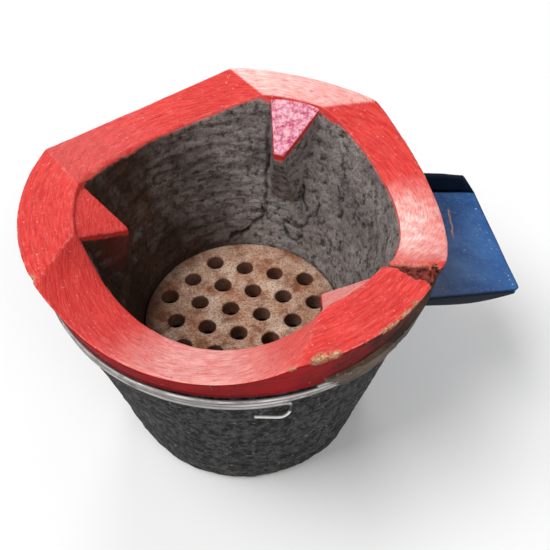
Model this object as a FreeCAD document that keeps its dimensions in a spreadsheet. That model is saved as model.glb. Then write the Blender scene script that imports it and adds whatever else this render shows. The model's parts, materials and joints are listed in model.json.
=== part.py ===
import FreeCAD, Part
import math
import os
import Sketcher
from FreeCAD import Placement, Rotation, Vector

# Portable clay charcoal stove, millimetres.
# Z is up, the origin is the middle of the base, and X points along the side shelf.

doc = FreeCAD.newDocument("clay_stove")

# Driving dimensions
SIZES = {
    # Fire bowl: a cone with a thick collar that carries the rim
    "rim_height": 213,
    "rim_radius": 140,
    "bowl_mouth_radius": 108,
    "bowl_wall": 13,
    "bowl_foot_depth": 12,
    "collar_depth": 33,
    "collar_foot_radius": 131,
    # Dips in the rim between its three flat lands, each as its maker cut it
    "dip_inner_radius": 99.5,
    "dip_outer_radius": 132,
    "dip_right_half_width": 80,
    "dip_right_inner_depth": 20.5,
    "dip_right_outer_depth": 21,
    "dip_back_half_width": 77.5,
    "dip_back_inner_depth": 17.6,
    "dip_back_outer_depth": 16.5,
    "dip_front_half_width": 81.5,
    "dip_front_inner_depth": 36.2,
    "dip_front_outer_depth": 22.5,
    # Grate: a loose perforated clay disc
    "grate_top": 87,
    "grate_thickness": 16,
    "grate_clearance": 1,
    "grate_ledge": 6,
    "grate_edge_draft": 1,
    "hole_diameter": 13,
    "hole_pitch_ratio": 0.328,
    "hole_shift_x": 2.5,
    "hole_shift_y": 3.5,
    "hole_row_angle": -23.4,
    # Jacket: the outer clay bucket with the ash mouth
    "base_radius": 92,
    "base_thickness": 16,
    "base_round": 4,
    "jacket_top_radius": 130,
    "jacket_wall": 13,
    "mouth_width": 92,
    "mouth_height": 40,
    "mouth_shoulder": 24,
    # Mortar between the jacket and the fire bowl
    "mortar_joint": 2,
    "mortar_foot": 3.7,
    "mortar_head": 1.9,
    "mortar_setback": 0.4,
    "bond_gap": 0.1,
    # Pot rests, one on each land of the rim
    "rest_half_width": 21,
    "rest_nose_half_width": 3,
    "rest_nose_height": 190,
    "rest_nose_drop": 10,
    "rest_top_drop": 0.6,
    "rest_left_reach": 73.6,
    "rest_back_reach": 70.5,
    "rest_right_reach": 84,
    "rest_root_rise": 33,
    "rest_root_radius": 88,
    # Wire hoop: three turns under the collar and a bent tail
    "wire_diameter": 2.6,
    "hoop_pitch": 4.4,
    "hoop_top_drop": 6,
    "hoop_gap": 0.3,
    "hoop_start_angle": -78,
    "hoop_end_angle": -83,
    "tail_bend_radius": 3.2,
    "tail_length": 22,
    # Side shelf: a sheet set in a slot of the jacket, its far side folded up and its near side folded down
    "sheet_thickness": 1.2,
    "shelf_slope": 7.6,
    "shelf_reach": 190.8,
    "shelf_front_height": 136,
    "shelf_half_width": 50.8,
    "shelf_taper": 3.2,
    "shelf_seat_depth": 9,
    "shelf_wall_clearance": 3,
    "slot_clearance": 0.3,
    "far_flange": 18.5,
    "far_flange_clip": 14.5,
    "near_flange": 8.2,
    "near_flange_root": 5.5,
    "near_flange_end": 0.8,
}
LANDS = {"left": 178, "back": 58, "right": -60.5}
DIPS = {"right": 0.4, "back": 118, "front": 239.6}
HOLE_ROWS = (4, 5, 6, 5, 4)
HOOP_TURNS = 3

sheet = doc.addObject("Spreadsheet::Sheet", "Sizes")
for row, (name, value) in enumerate(SIZES.items(), start=1):
    sheet.set(f"A{row}", name)
    sheet.set(f"B{row}", str(value))
    sheet.setAlias(f"B{row}", name)
doc.recompute()


def size(name):
    return float(getattr(sheet, name))


def bound(text):
    """An expression whose size names point at the sheet's cells."""
    for name in sorted(SIZES, key=len, reverse=True):
        text = text.replace("$" + name, "Sizes." + name)
    return text


def number(text):
    return float(sheet.evalExpression(bound(text)))


# Sizes that several pieces share, as expressions of the sheet's cells
COLLAR_FOOT = "($rim_height - $collar_depth)"
JACKET_TOP = f"({COLLAR_FOOT} - $mortar_joint)"
JACKET_SLOPE = f"(($jacket_top_radius - $base_radius) / {JACKET_TOP})"
GRATE_SEAT = "($grate_top - $grate_thickness)"
BOWL_FOOT = f"({GRATE_SEAT} - $bowl_foot_depth)"
SHELF_AXIS_HEIGHT = "($shelf_front_height + $shelf_reach * tan($shelf_slope * 1deg))"
SHELF_FRONT = "($shelf_reach / cos($shelf_slope * 1deg))"


def jacket_radius(height):
    return f"($base_radius + {JACKET_SLOPE} * ({height}))"


# The bowl fits inside the jacket with the mortar between them at its foot and its head
BOWL_DROP = "(($grate_thickness + $bowl_foot_depth) / ($rim_height - $grate_top))"
BOWL_ROOM = f"({jacket_radius(BOWL_FOOT)} - $jacket_wall - $mortar_foot - $bowl_wall - $grate_ledge)"
BOWL_FLOOR = f"(({BOWL_ROOM} + $bowl_mouth_radius * {BOWL_DROP}) / (1 + {BOWL_DROP}))"
BOWL_SLOPE = f"(($bowl_mouth_radius - {BOWL_FLOOR}) / ($rim_height - $grate_top))"
BOWL_OUTSIDE = "($jacket_top_radius - $jacket_wall - $mortar_head)"
HOLE_PITCH = f"($hole_pitch_ratio * ({BOWL_FLOOR} - $grate_clearance))"


def bowl_radius(height):
    return f"({BOWL_FLOOR} + {BOWL_SLOPE} * (({height}) - $grate_top))"


# Sketch helpers
def new_body(name):
    body = doc.addObject("PartDesign::Body", name)
    body.Label = name
    return body


def origin_feature(body, role):
    return next(item for item in body.Origin.OriginFeatures if item.Role == role)


def new_sketch(body, name, plane, offset=None):
    sketch = body.newObject("Sketcher::SketchObject", name)
    sketch.AttachmentSupport = [(origin_feature(body, plane), "")]
    sketch.MapMode = "FlatFace"
    if offset:
        sketch.setExpression("AttachmentOffset.Base.z", bound(offset))
    return sketch


def pin(sketch, geometry, point, x, y):
    """Hold one point of a sketch at two expressions, measured from its origin."""
    for kind, text in (("DistanceX", x), ("DistanceY", y)):
        rule = Sketcher.Constraint(kind, -1, 1, geometry, point, number(text))
        index = sketch.addConstraint(rule)
        sketch.setExpression(f"Constraints[{index}]", bound(text))


def outline(sketch, corners):
    """A closed outline of straight lines through corners given as expressions."""
    points = [Vector(number(x), number(y), 0) for x, y in corners]
    first = sketch.GeometryCount
    count = len(points)
    for i in range(count):
        sketch.addGeometry(Part.LineSegment(points[i], points[(i + 1) % count]), False)
    for i in range(count):
        sketch.addConstraint(Sketcher.Constraint("Coincident", first + i, 2, first + (i + 1) % count, 1))
    for i, (x, y) in enumerate(corners):
        pin(sketch, first + i, 1, x, y)


def turned(body, name, corners):
    """A solid of revolution about Z from a half section of radius and height."""
    sketch = new_sketch(body, name + "Section", "XZ_Plane")
    outline(sketch, corners)
    feature = body.newObject("PartDesign::Revolution", name)
    feature.Profile = sketch
    feature.ReferenceAxis = (sketch, ["V_Axis"])
    feature.Angle = 360
    doc.recompute()
    return feature


def cut(body, kind, name, sketch, **settings):
    """Cut a sketch out of the body and make sure that it took something away."""
    before = body.Shape.Volume
    feature = body.newObject(kind, name)
    feature.Profile = sketch
    for key, value in settings.items():
        setattr(feature, key, value)
    doc.recompute()
    if not body.Shape.Volume < before:
        raise RuntimeError(name + " cut nothing")
    return feature


def cut_through(body, name, sketch, reverse=False):
    return cut(body, "PartDesign::Pocket", name, sketch, Type="ThroughAll", Reversed=reverse)


# Fire bowl
def dip_section(body, side, name, place):
    """A segment of a circle that is as wide as the dip where it meets the rim's height."""
    inner, outer = f"$dip_{side}_inner_depth", f"$dip_{side}_outer_depth"
    half_width = f"$dip_{side}_half_width"
    fall = f"(({inner} - {outer}) / ($dip_outer_radius - $dip_inner_radius))"
    depth = f"({inner} - {fall} * ({place} - $dip_inner_radius))"
    radius = f"(({half_width} ^ 2 + {depth} ^ 2) / (2 * {depth}))"
    centre = f"($rim_height - {depth} + {radius})"
    lid = f"($rim_height + {outer} / 4)"
    sketch = new_sketch(body, name, "YZ_Plane")
    turn = math.radians(DIPS[side])
    sketch.AttachmentOffset = Placement(Vector(), Rotation(Vector(0, 1, 0), DIPS[side]))
    sketch.setExpression("AttachmentOffset.Base.x", bound(f"{place} * {math.sin(turn):.9f}"))
    sketch.setExpression("AttachmentOffset.Base.z", bound(f"{place} * {math.cos(turn):.9f}"))
    middle = Vector(0, number(centre), 0)
    rise = number(centre) - number(lid)
    lean = math.acos(rise / number(radius))
    down = -math.pi / 2
    circle = Part.Circle(middle, Vector(0, 0, 1), number(radius))
    sketch.addGeometry(Part.ArcOfCircle(circle, down - lean, down + lean), False)
    reach = number(radius) * math.sin(lean)
    sketch.addGeometry(Part.LineSegment(Vector(reach, number(lid), 0), Vector(-reach, number(lid), 0)), False)
    sketch.addConstraint(Sketcher.Constraint("Coincident", 0, 2, 1, 1))
    sketch.addConstraint(Sketcher.Constraint("Coincident", 1, 2, 0, 1))
    pin(sketch, 0, 3, "0", centre)
    index = sketch.addConstraint(Sketcher.Constraint("Radius", 0, number(radius)))
    sketch.setExpression(f"Constraints[{index}]", bound(radius))
    sketch.addConstraint(Sketcher.Constraint("Horizontal", 1))
    index = sketch.addConstraint(Sketcher.Constraint("DistanceY", -1, 1, 1, 1, number(lid)))
    sketch.setExpression(f"Constraints[{index}]", bound(lid))
    return sketch


def make_fire_bowl():
    body = new_body("fire_bowl")
    seat = f"({BOWL_FLOOR} - $grate_ledge)"
    outside = BOWL_OUTSIDE
    foot_outside = f"({bowl_radius(BOWL_FOOT)} + $bowl_wall + $grate_ledge)"
    turned(body, "BowlTurned", (
        (seat, BOWL_FOOT),
        (foot_outside, BOWL_FOOT),
        (outside, COLLAR_FOOT),
        ("$collar_foot_radius", COLLAR_FOOT),
        ("$rim_radius", "$rim_height"),
        ("$bowl_mouth_radius", "$rim_height"),
        (BOWL_FLOOR, "$grate_top"),
        (BOWL_FLOOR, GRATE_SEAT),
        (seat, GRATE_SEAT),
    ))
    for side in DIPS:
        name = side.capitalize() + "Dip"
        near = f"($dip_inner_radius - $dip_{side}_half_width / 2)"
        inner = dip_section(body, side, name + "InnerSection", near)
        outer = dip_section(body, side, name + "OuterSection", "($rim_radius + $mortar_joint)")
        before = body.Shape.Volume
        dip = body.newObject("PartDesign::SubtractiveLoft", name)
        dip.Profile = inner
        dip.Sections = [outer]
        dip.Ruled = True
        doc.recompute()
        if not body.Shape.Volume < before:
            raise RuntimeError(name + " cut nothing")
    return body


# Pot rests
def make_pot_rest(side, angle):
    body = new_body(f"pot_rest_{side}")
    reach = f"$rest_{side}_reach"
    outer = "$bowl_mouth_radius + $rest_nose_drop"
    top_face = "($rim_height - $rest_top_drop)"
    root = "($grate_top + $rest_root_rise)"
    section = new_sketch(body, "RestSection", "XZ_Plane")
    outline(section, (
        (outer, top_face),
        ("$bowl_mouth_radius", top_face),
        (reach, "$rest_nose_height"),
        (reach, "($rest_nose_height - $rest_nose_drop)"),
        ("$rest_root_radius", root),
        (outer, root),
    ))
    pad = body.newObject("PartDesign::Pad", "RestBlock")
    pad.Profile = section
    pad.SideType = "Symmetric"
    pad.setExpression("Length", bound("2 * $rest_half_width"))
    doc.recompute()
    for sign, name in (("", "RestLeftCheek"), ("-", "RestRightCheek")):
        cheek = new_sketch(body, name + "Plan", "XY_Plane")
        outline(cheek, (
            ("$bowl_mouth_radius", f"{sign}$rest_half_width"),
            (reach, f"{sign}$rest_nose_half_width"),
            (f"{reach} - $rest_nose_drop", f"{sign}$rest_nose_half_width"),
            (f"{reach} - $rest_nose_drop", f"{sign}2 * $rest_half_width"),
            ("$bowl_mouth_radius", f"{sign}2 * $rest_half_width"),
        ))
        cut_through(body, name, cheek, reverse=True)
    wall = new_sketch(body, "BowlWallSection", "XZ_Plane")
    top = "($rim_height + $rest_nose_drop)"
    outline(wall, (
        (f"{bowl_radius(root)} - {BOWL_SLOPE} * $rest_nose_drop - $bond_gap", f"{root} - $rest_nose_drop"),
        (f"{bowl_radius(top)} - $bond_gap", top),
        ("$rim_radius", top),
        ("$rim_radius", f"{root} - $rest_nose_drop"),
    ))
    cut(body, "PartDesign::Groove", "RestBack", wall, ReferenceAxis=(wall, ["V_Axis"]), Angle=360)
    body.Placement = Placement(Vector(), Rotation(Vector(0, 0, 1), angle))
    return body


# Grate
def make_grate():
    body = new_body("grate")
    edge = f"({BOWL_FLOOR} - $grate_clearance)"
    turned(body, "GrateDisc", (
        ("0", GRATE_SEAT),
        (f"{edge} - $grate_edge_draft", GRATE_SEAT),
        (edge, "$grate_top"),
        ("0", "$grate_top"),
    ))
    plan = new_sketch(body, "HolePlan", "XY_Plane")
    plan.setExpression("AttachmentOffset.Base.x", bound("$hole_shift_x"))
    plan.setExpression("AttachmentOffset.Base.y", bound("$hole_shift_y"))
    plan.AttachmentOffset.Rotation.Axis = Vector(0, 0, 1)
    plan.setExpression("AttachmentOffset.Rotation.Angle", bound("$hole_row_angle"))
    middle_row = len(HOLE_ROWS) // 2
    for row, count in enumerate(HOLE_ROWS):
        for place in range(count):
            x = f"{place - (count - 1) / 2} * {HOLE_PITCH}"
            y = f"{middle_row - row} * {HOLE_PITCH} * sqrt(3) / 2"
            circle = Part.Circle(Vector(number(x), number(y), 0), Vector(0, 0, 1), size("hole_diameter") / 2)
            index = plan.addGeometry(circle, False)
            pin(plan, index, 3, x, y)
            rule = plan.addConstraint(Sketcher.Constraint("Diameter", index, size("hole_diameter")))
            plan.setExpression(f"Constraints[{rule}]", bound("$hole_diameter"))
    cut_through(body, "GrateHoles", plan, reverse=True)
    return body


# Jacket
def make_jacket():
    body = new_body("jacket")
    inside_base = f"({jacket_radius('$base_thickness')} - $jacket_wall)"
    turned(body, "JacketTurned", (
        ("0", "0"),
        ("$base_radius - $base_round", "0"),
        (jacket_radius("$base_round"), "$base_round"),
        ("$jacket_top_radius", JACKET_TOP),
        ("$jacket_top_radius - $jacket_wall", JACKET_TOP),
        (inside_base, "$base_thickness"),
        ("0", "$base_thickness"),
    ))
    mouth = new_sketch(body, "MouthOutline", "YZ_Plane")
    half = "$mouth_width / 2"
    shoulder = "$base_thickness + $mouth_shoulder"
    crown = "$base_thickness + $mouth_height"
    rise = "($mouth_height - $mouth_shoulder)"
    radius = f"((({half}) ^ 2 + {rise} ^ 2) / (2 * {rise}))"
    right = Vector(number(half), number(shoulder), 0)
    left = Vector(-right.x, right.y, 0)
    arch = Part.Arc(right, Vector(0, number(crown), 0), left)
    foot = number("$base_thickness")
    mouth.addGeometry(arch, False)
    mouth.addGeometry(Part.LineSegment(left, Vector(left.x, foot, 0)), False)
    mouth.addGeometry(Part.LineSegment(Vector(left.x, foot, 0), Vector(right.x, foot, 0)), False)
    mouth.addGeometry(Part.LineSegment(Vector(right.x, foot, 0), right), False)
    for first, last in ((0, 1), (1, 2), (2, 3), (3, 0)):
        mouth.addConstraint(Sketcher.Constraint("Coincident", first, 2, last, 1))
    pin(mouth, 1, 1, f"-{half}", shoulder)
    pin(mouth, 2, 1, f"-{half}", "$base_thickness")
    pin(mouth, 3, 1, half, "$base_thickness")
    pin(mouth, 0, 1, half, shoulder)
    rule = mouth.addConstraint(Sketcher.Constraint("Radius", 0, number(radius)))
    mouth.setExpression(f"Constraints[{rule}]", bound(radius))
    cut_through(body, "AshMouth", mouth, reverse=True)
    slot = new_sketch(body, "SlotSection", "XZ_Plane")
    outline(slot, (
        shelf_line(SHELF_ROOT, "-$slot_clearance"),
        shelf_line(f"{SHELF_WALL} + $jacket_wall", "-$slot_clearance"),
        shelf_line(f"{SHELF_WALL} + $jacket_wall", "$sheet_thickness + $slot_clearance"),
        shelf_line(SHELF_ROOT, "$sheet_thickness + $slot_clearance"),
    ))
    width = f"2 * ({shelf_half_width(SHELF_ROOT)} + $slot_clearance)"
    feature = cut(body, "PartDesign::Pocket", "ShelfSlot", slot, SideType="Symmetric", Length=number(width))
    feature.setExpression("Length", bound(width))
    return body


# Side shelf, drawn in its own sloping plane with X towards its free edge
def shelf_line(distance, rise):
    """A point of the shelf's side view, at a distance along the sheet and a rise above its underside."""
    lean = "($shelf_slope * 1deg)"
    x = f"({distance}) * cos{lean} + ({rise}) * sin{lean}"
    z = f"{SHELF_AXIS_HEIGHT} - ({distance}) * sin{lean} + ({rise}) * cos{lean}"
    return x, z


SHELF_FALL = f"(cos($shelf_slope * 1deg) + {JACKET_SLOPE} * sin($shelf_slope * 1deg))"
SHELF_WALL = f"({jacket_radius(SHELF_AXIS_HEIGHT)} / {SHELF_FALL})"
SHELF_SEAT = f"({SHELF_WALL} - $shelf_seat_depth)"
SHELF_ROOT = f"({SHELF_WALL} - 3 * $jacket_wall)"


def shelf_half_width(distance):
    return f"($shelf_half_width + ({SHELF_FRONT} - ({distance})) * tan($shelf_taper * 1deg))"


def make_side_shelf():
    body = new_body("side_shelf")
    wide = shelf_half_width(SHELF_SEAT)
    plan = new_sketch(body, "FloorPlan", "XY_Plane")
    start = f"sqrt({SHELF_SEAT} ^ 2 - {wide} ^ 2)"
    front = SHELF_FRONT
    radius = number(SHELF_SEAT)
    left = Vector(number(start), number(wide), 0)
    right = Vector(number(start), -number(wide), 0)
    tip_left = Vector(number(front), size("shelf_half_width"), 0)
    tip_right = Vector(number(front), -size("shelf_half_width"), 0)
    lean = math.atan2(left.y, left.x)
    circle = Part.Circle(Vector(), Vector(0, 0, 1), radius)
    plan.addGeometry(Part.ArcOfCircle(circle, -lean, lean), False)
    plan.addGeometry(Part.LineSegment(left, tip_left), False)
    plan.addGeometry(Part.LineSegment(tip_left, tip_right), False)
    plan.addGeometry(Part.LineSegment(tip_right, right), False)
    for first, last, point in ((0, 1, 2), (1, 2, 2), (2, 3, 2), (3, 0, 2)):
        plan.addConstraint(Sketcher.Constraint("Coincident", first, point, last, 1))
    pin(plan, 1, 1, start, wide)
    pin(plan, 2, 1, front, "$shelf_half_width")
    pin(plan, 3, 1, front, "-$shelf_half_width")
    pin(plan, 3, 2, start, f"-{wide}")
    rule = plan.addConstraint(Sketcher.Constraint("Radius", 0, radius))
    plan.setExpression(f"Constraints[{rule}]", bound(SHELF_SEAT))
    floor = body.newObject("PartDesign::Pad", "ShelfFloor")
    floor.Profile = plan
    floor.setExpression("Length", bound("$sheet_thickness"))
    doc.recompute()
    flange_start = f"({SHELF_WALL} + $shelf_wall_clearance)"
    for sign, name in (("", "far_flange"), ("-", "near_flange")):
        strip = new_sketch(body, name + "Plan", "XY_Plane")
        begin = shelf_half_width(flange_start)
        outline(strip, (
            (flange_start, f"{sign}{begin}"),
            (front, f"{sign}$shelf_half_width"),
            (front, f"{sign}($shelf_half_width - $sheet_thickness)"),
            (flange_start, f"{sign}({begin} - $sheet_thickness)"),
        ))
        flange = body.newObject("PartDesign::Pad", name)
        flange.Profile = strip
        if name == "near_flange":
            flange.Reversed = True
            flange.setExpression("Length", bound("$near_flange + $sheet_thickness"))
        else:
            flange.setExpression("Length", bound("$far_flange"))
        doc.recompute()
    far = new_sketch(body, "FarClip", "XZ_Plane")
    outline(far, (
        (f"{front} - $far_flange_clip", "$far_flange"),
        (front, "$sheet_thickness"),
        (f"{front} + $far_flange_clip", "$sheet_thickness"),
        (f"{front} + $far_flange_clip", "2 * $far_flange"),
        (f"{front} - $far_flange_clip", "2 * $far_flange"),
    ))
    cut_through(body, "FarFlangeClip", far)
    near = new_sketch(body, "NearTaper", "XZ_Plane")
    middle = f"({flange_start} + {front}) / 2"
    outline(near, (
        (f"{flange_start} - $far_flange_clip", "-$near_flange_root"),
        (flange_start, "-$near_flange_root"),
        (middle, "-$near_flange"),
        (front, "-$near_flange_end"),
        (f"{front} + $far_flange_clip", "-$near_flange_end"),
        (f"{front} + $far_flange_clip", "-2 * $far_flange"),
        (f"{flange_start} - $far_flange_clip", "-2 * $far_flange"),
    ))
    cut_through(body, "NearFlangeTaper", near, reverse=True)
    body.setExpression("Placement.Base.z", bound(SHELF_AXIS_HEIGHT))
    body.Placement.Rotation.Axis = Vector(0, 1, 0)
    body.setExpression("Placement.Rotation.Angle", bound("$shelf_slope"))
    return body


# Mortar bed
def make_mortar_bed():
    body = new_body("mortar_bed")
    inner_top = f"({BOWL_OUTSIDE} + $bond_gap)"
    inner_foot = f"({bowl_radius(BOWL_FOOT)} + $bowl_wall + $grate_ledge + $bond_gap)"
    turned(body, "MortarTurned", (
        (inner_foot, BOWL_FOOT),
        (f"{jacket_radius(BOWL_FOOT)} - $jacket_wall - $bond_gap", BOWL_FOOT),
        ("$jacket_top_radius - $jacket_wall - $bond_gap", f"{JACKET_TOP} + $bond_gap"),
        ("$jacket_top_radius - $mortar_setback", f"{JACKET_TOP} + $bond_gap"),
        ("$jacket_top_radius - $mortar_setback", f"{COLLAR_FOOT} - $bond_gap"),
        (inner_top, f"{COLLAR_FOOT} - $bond_gap"),
    ))
    return body


# Wire hoop
def biarc(start, start_way, end, end_way):
    """Two tangent arcs from one point and direction to another."""
    chord = end - start
    both = start_way + end_way
    a = 2 * (1 - start_way.dot(end_way))
    b = 2 * chord.dot(both)
    c = -chord.dot(chord)
    reach = (-b + math.sqrt(b * b - 4 * a * c)) / (2 * a)
    joint = (start + end + (start_way - end_way) * reach) * 0.5
    edges = []
    for first, way, last in ((start, start_way, joint), (end, end_way * -1, joint)):
        span = last - first
        normal = (span - way * span.dot(way)).normalize()
        radius = span.dot(span) / (2 * span.dot(normal))
        centre = first + normal * radius
        middle = (first - centre) + (last - centre)
        half_way = centre + middle.normalize() * radius
        arc = (first, half_way, last) if first is start else (last, half_way, first)
        edges.append(Part.Arc(*arc).toShape())
    return edges


def make_wire_hoop():
    diameter = size("wire_diameter")
    pitch = size("hoop_pitch")
    top = number(COLLAR_FOOT) - size("hoop_top_drop")
    slope = number(JACKET_SLOPE)
    stand_off = (diameter / 2 + size("hoop_gap")) * math.sqrt(1 + slope * slope)
    start_angle = math.radians(size("hoop_start_angle"))
    end_angle = math.radians(size("hoop_end_angle")) + HOOP_TURNS * 2 * math.pi

    def point(angle):
        height = top - pitch * (angle - start_angle) / (2 * math.pi)
        radius = size("base_radius") + slope * height + stand_off
        return Vector(radius * math.cos(angle), radius * math.sin(angle), height)

    def direction(angle):
        step = 0.0005
        return (point(angle + step) - point(angle - step)).normalize()

    quarters = 4 * HOOP_TURNS
    angles = [start_angle + (end_angle - start_angle) * i / quarters for i in range(quarters + 1)]
    begin = point(start_angle)
    edges = [Part.LineSegment(begin - direction(start_angle) * diameter, begin).toShape()]
    for a, b in zip(angles, angles[1:]):
        edges += biarc(point(a), direction(a), point(b), direction(b))
    leave = point(end_angle)
    way = direction(end_angle)
    outwards = Vector(math.cos(end_angle), math.sin(end_angle), 0)
    down = way.cross(outwards).normalize()
    if down.z > 0:
        down = down * -1
    bend = size("tail_bend_radius")
    turn = Part.Arc(leave, leave + down * bend + way * bend, leave + down * bend * 2)
    back = leave + down * bend * 2
    edges.append(turn.toShape())
    edges.append(Part.LineSegment(back, back - way * size("tail_length")).toShape())
    path = Part.Wire(edges)
    tip = edges[0].Vertexes[0].Point
    ring = Part.Wire(Part.Circle(tip, direction(start_angle), diameter / 2).toShape())
    shape = path.makePipeShell([ring], True, False)
    solid = shape if shape.ShapeType == "Solid" else Part.Solid(Part.Shell(shape.Faces))
    expected = math.pi * diameter ** 2 / 4 * path.Length
    print("wire hoop: length %.1f, volume over section times length %.4f" % (path.Length, solid.Volume / expected))
    print("wire hoop: least gap to itself %.2f" % least_gap(edges, diameter))
    hoop = doc.addObject("Part::Feature", "wire_hoop")
    hoop.Label = "wire_hoop"
    hoop.Shape = solid
    return hoop


def least_gap(edges, diameter):
    """The least clear distance between stretches of a tube that lie apart along its route."""
    step = diameter / 2
    points = []
    travelled = 0
    for edge in edges:
        for place in edge.discretize(max(2, int(edge.Length / step)))[1:]:
            points.append((travelled, place))
            travelled += step
    gap = math.inf
    apart = 4 * size("tail_bend_radius") + 4 * diameter
    for i, (here, a) in enumerate(points):
        for there, b in points[i + 1:]:
            if there - here > apart:
                gap = min(gap, a.distanceToPoint(b))
    return gap - diameter


# Build, check and write
parts = [make_fire_bowl(), make_grate(), make_jacket(), make_mortar_bed(), make_side_shelf(), make_wire_hoop()]
for side, angle in LANDS.items():
    parts.append(make_pot_rest(side, angle))
doc.recompute()

for item in doc.Objects:
    if "Invalid" in item.State or "Error" in item.State:
        raise RuntimeError("%s is in state %s" % (item.Label, item.State))
for item in parts:
    if item.Shape.isNull() or not item.Shape.isValid():
        raise RuntimeError(item.Label + " has no valid shape")

os.makedirs("parts", exist_ok=True)
for item in parts:
    item.Shape.exportStep("parts/" + item.Label + ".step")
    box = item.Shape.optimalBoundingBox()
    print("%-16s solids %d volume %.0f box %.1f %.1f %.1f to %.1f %.1f %.1f" % (
        item.Label, len(item.Shape.Solids), item.Shape.Volume,
        box.XMin, box.YMin, box.ZMin, box.XMax, box.YMax, box.ZMax))
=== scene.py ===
# %% Load the stove's frame
import json
import math

import bmesh
import bpy
from mathutils import Matrix, Vector, noise

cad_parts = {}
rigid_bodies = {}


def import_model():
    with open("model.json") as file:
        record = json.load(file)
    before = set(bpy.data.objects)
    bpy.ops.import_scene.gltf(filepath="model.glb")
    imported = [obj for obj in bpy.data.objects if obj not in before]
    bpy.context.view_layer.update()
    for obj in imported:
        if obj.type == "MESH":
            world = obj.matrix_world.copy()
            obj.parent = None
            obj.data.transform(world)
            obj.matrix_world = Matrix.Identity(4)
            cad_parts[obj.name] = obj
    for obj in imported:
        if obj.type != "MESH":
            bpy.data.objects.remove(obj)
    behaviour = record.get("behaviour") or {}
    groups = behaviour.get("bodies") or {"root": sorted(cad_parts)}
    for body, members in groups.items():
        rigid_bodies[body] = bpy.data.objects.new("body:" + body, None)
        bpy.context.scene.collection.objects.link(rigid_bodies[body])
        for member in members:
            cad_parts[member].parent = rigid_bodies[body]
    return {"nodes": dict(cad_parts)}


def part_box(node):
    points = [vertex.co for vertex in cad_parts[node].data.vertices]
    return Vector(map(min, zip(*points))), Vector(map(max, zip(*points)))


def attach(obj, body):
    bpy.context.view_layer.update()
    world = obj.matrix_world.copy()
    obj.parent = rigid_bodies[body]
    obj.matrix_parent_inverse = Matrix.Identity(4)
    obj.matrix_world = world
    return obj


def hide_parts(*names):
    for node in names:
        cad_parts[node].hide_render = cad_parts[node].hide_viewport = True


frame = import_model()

NOISE_SEED = 4
noise.seed_set(NOISE_SEED)
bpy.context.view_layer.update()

# %% [markdown]
# The stove is a hand-made clay object. Its CAD solids already have the right sizes, so most clay pieces
# start as a copy of their solid. The copy is remeshed into small even faces, like fresh clay, and is then
# rounded, dented and chipped in code. A smooth CAD solid with a bump texture would keep its sharp edges.

# %% Measures of the stove, in metres
RIM_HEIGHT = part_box("fire_bowl")[1][2]
RIM_RADIUS = -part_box("fire_bowl")[0][0]
GRATE_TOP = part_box("grate")[1][2]
BOWL_FLOOR_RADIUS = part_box("grate")[1][0] + 0.001
BOWL_MOUTH_RADIUS = 0.108
JACKET_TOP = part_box("jacket")[1][2]
JACKET_TOP_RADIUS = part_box("jacket")[1][0]
BASE_RADIUS = 0.092
COLLAR_FOOT = RIM_HEIGHT - 0.033
MM = 0.001


def bowl_radius(height):
    slope = (BOWL_MOUTH_RADIUS - BOWL_FLOOR_RADIUS) / (RIM_HEIGHT - GRATE_TOP)
    return BOWL_FLOOR_RADIUS + slope * (height - GRATE_TOP)


def jacket_radius(height):
    return BASE_RADIUS + (JACKET_TOP_RADIUS - BASE_RADIUS) * height / JACKET_TOP


def polar(degrees, radius, height):
    angle = math.radians(degrees)
    return Vector((radius * math.cos(angle), radius * math.sin(angle), height))


def soft_step(low, high, value):
    t = min(max((value - low) / (high - low), 0.0), 1.0)
    return t * t * (3 - 2 * t)


print("rim", RIM_HEIGHT, RIM_RADIUS, "grate", GRATE_TOP, BOWL_FLOOR_RADIUS, "jacket", JACKET_TOP)

# %% [markdown]
# The camera comes first, so that every later look is judged in the photograph's own view.
# Its height, distance and lens were fitted to the corners of the rim, the grate and the base.

# %% Camera
VIEW_TURN = math.radians(9.8)
VIEW_RISE = math.radians(48.9)
VIEW_DISTANCE = 0.577
VIEW_TARGET = Vector((0.0241, 0.0, 0.1329))
FOCAL_PIXELS = 800
PICTURE_PIXELS = 550
SENSOR = 36.0

turn_to_stove = Matrix.Rotation(-VIEW_TURN, 4, "Z")
camera_data = bpy.data.cameras.new("camera")
camera_data.sensor_width = SENSOR
camera_data.sensor_fit = "HORIZONTAL"
camera_data.lens = SENSOR * FOCAL_PIXELS / PICTURE_PIXELS
camera_data.clip_start = 0.01
camera = bpy.data.objects.new("camera", camera_data)
bpy.context.collection.objects.link(camera)
away = Vector((0, math.cos(VIEW_RISE), -math.sin(VIEW_RISE)))
camera.matrix_world = turn_to_stove @ Matrix.Translation(VIEW_TARGET - away * VIEW_DISTANCE) @ (
    Matrix.Rotation(math.pi / 2 - VIEW_RISE, 4, "X"))
bpy.context.scene.camera = camera
print("lens", round(camera_data.lens, 2), "camera at", camera.matrix_world.translation)

# %% [markdown]
# A voxel remesh gives the copy of a solid even quads, and a few rounds of smoothing take the sharpness off
# its edges, as a wet thumb does. The masks that the materials read later are stored on the points.


# %% Copies of clay solids
def soften(form, verts, rounds):
    """Round off the edges between the given points."""
    for _ in range(rounds):
        bmesh.ops.smooth_vert(form, verts=verts, factor=0.5,
                              use_axis_x=True, use_axis_y=True, use_axis_z=True)


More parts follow.
